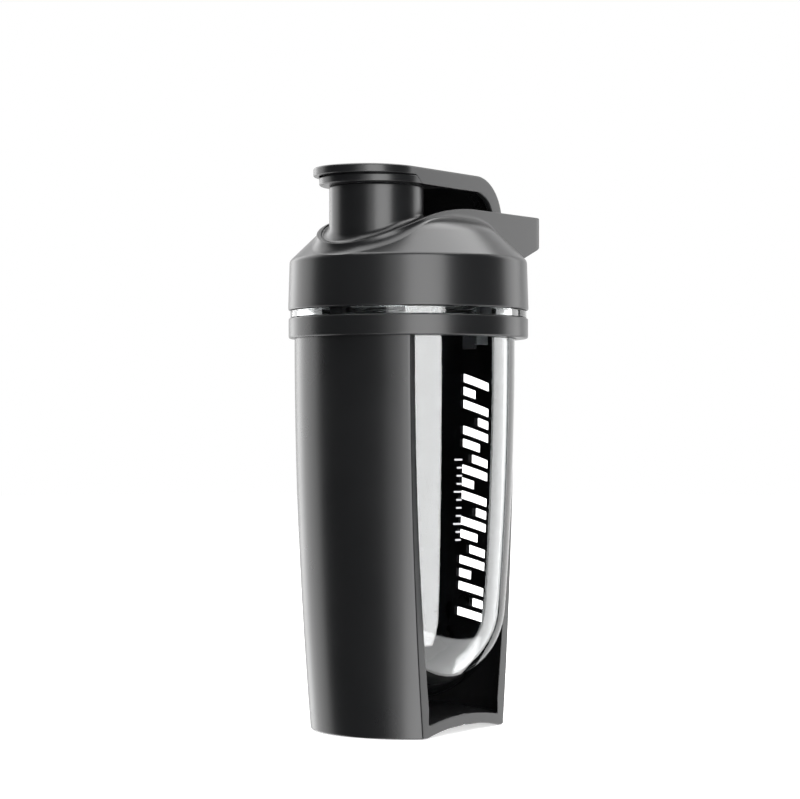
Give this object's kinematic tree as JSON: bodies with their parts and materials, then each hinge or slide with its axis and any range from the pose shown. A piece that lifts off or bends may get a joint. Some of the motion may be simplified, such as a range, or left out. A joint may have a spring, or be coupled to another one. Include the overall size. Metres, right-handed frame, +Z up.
{
  "type": "protein shaker bottle",
  "caption": "Shaker bottle: a clear cup in a windowed sleeve, under a screw lid with a spout, a carry loop, a flip cap on a pin and a mixing grid.",
  "frame": {"origin": "on the bottle's axis, in the plane of the ring it stands on", "axes": "+Z up along the axis, -X to the spout, +X to the hinge and carry loop, -Y to the sleeve's window"},
  "size_m": [0.1148, 0.0966, 0.2216],
  "materials": {
    "dark_plastic": "satin moulded polypropylene, charcoal",
    "clear_plastic": "clear glossy copolyester",
    "silicone": "matt grey silicone",
    "pin_steel": "plain ground steel",
    "grid_plastic": "satin grey polypropylene"
  },
  "bodies": {
    "sleeve_body": {"sleeve": "dark_plastic"},
    "cup_body": {"cup": "clear_plastic"},
    "gasket_body": {"lid_gasket": "silicone"},
    "lid_body": {"lid": "dark_plastic", "hinge_pin": "pin_steel"},
    "cap_body": {"flip_cap": "dark_plastic", "spout_plug": "silicone"},
    "grid_body": {"mixing_grid": "grid_plastic"}
  },
  "joints": [
    {"name": "cup_lift", "type": "slide", "parent": "sleeve_body", "child": "cup_body", "axis": [0, 0, 1], "range_m": [0, 0.165]},
    {"name": "lid_lift", "type": "slide", "parent": "cup_body", "child": "gasket_body", "axis": [0, 0, 1], "range_m": [0, 0.009]},
    {"name": "lid_turn", "type": "hinge", "parent": "gasket_body", "child": "lid_body", "pos_m": [0, 0, 0.18], "axis": [0, 0, 1], "range_deg": [0, 540]},
    {"name": "cap_hinge", "type": "hinge", "parent": "lid_body", "child": "cap_body", "pos_m": [0.0344, 0, 0.2038], "axis": [0, 1, 0], "range_deg": [0, 125]},
    {"name": "grid_unclip", "type": "slide", "parent": "lid_body", "child": "grid_body", "axis": [0, 0, -1], "range_m": [0, 0.015]}
  ],
  "couplings": [
    {"joint": "lid_lift", "follows": "lid_turn", "m_per_rad": 0.0009549}
  ]
}
